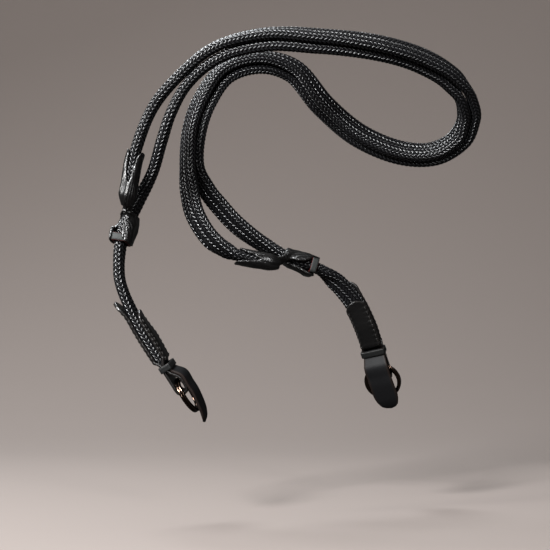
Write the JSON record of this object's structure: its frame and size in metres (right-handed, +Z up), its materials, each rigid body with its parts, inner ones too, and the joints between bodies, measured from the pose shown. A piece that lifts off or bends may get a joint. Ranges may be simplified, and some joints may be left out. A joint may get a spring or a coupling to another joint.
{
  "type": "camera strap",
  "caption": "Double-rope neck strap laid in loops, with leather end tabs, split rings, guards and two gripping leather sliders.",
  "frame": {"origin": "just under the middle of the top strand, where a neck or a peg carries the strap", "axes": "+Z up, +X along the top strand towards the right loop, +Y away from the viewer"},
  "size_m": [0.211, 0.0962, 0.2177],
  "materials": {
    "braid": "black herringbone braid with bright glints",
    "leather": "satin black, fine grain",
    "band_leather": "satin dark grey-green with dark red edges",
    "ring_steel": "blackened, polished"
  },
  "bodies": {
    "root": {"rope_left": "braid", "rope_right": "braid", "left_tab": "leather", "right_tab": "leather", "slider_1": "leather", "slider_2": "leather", "left_guard": "leather", "right_guard": "leather", "left_keeper": "band_leather", "right_keeper": "band_leather", "slider_1_keeper": "band_leather", "slider_2_keeper": "band_leather", "left_ring": "ring_steel", "right_ring": "ring_steel"}
  },
  "joints": []
}
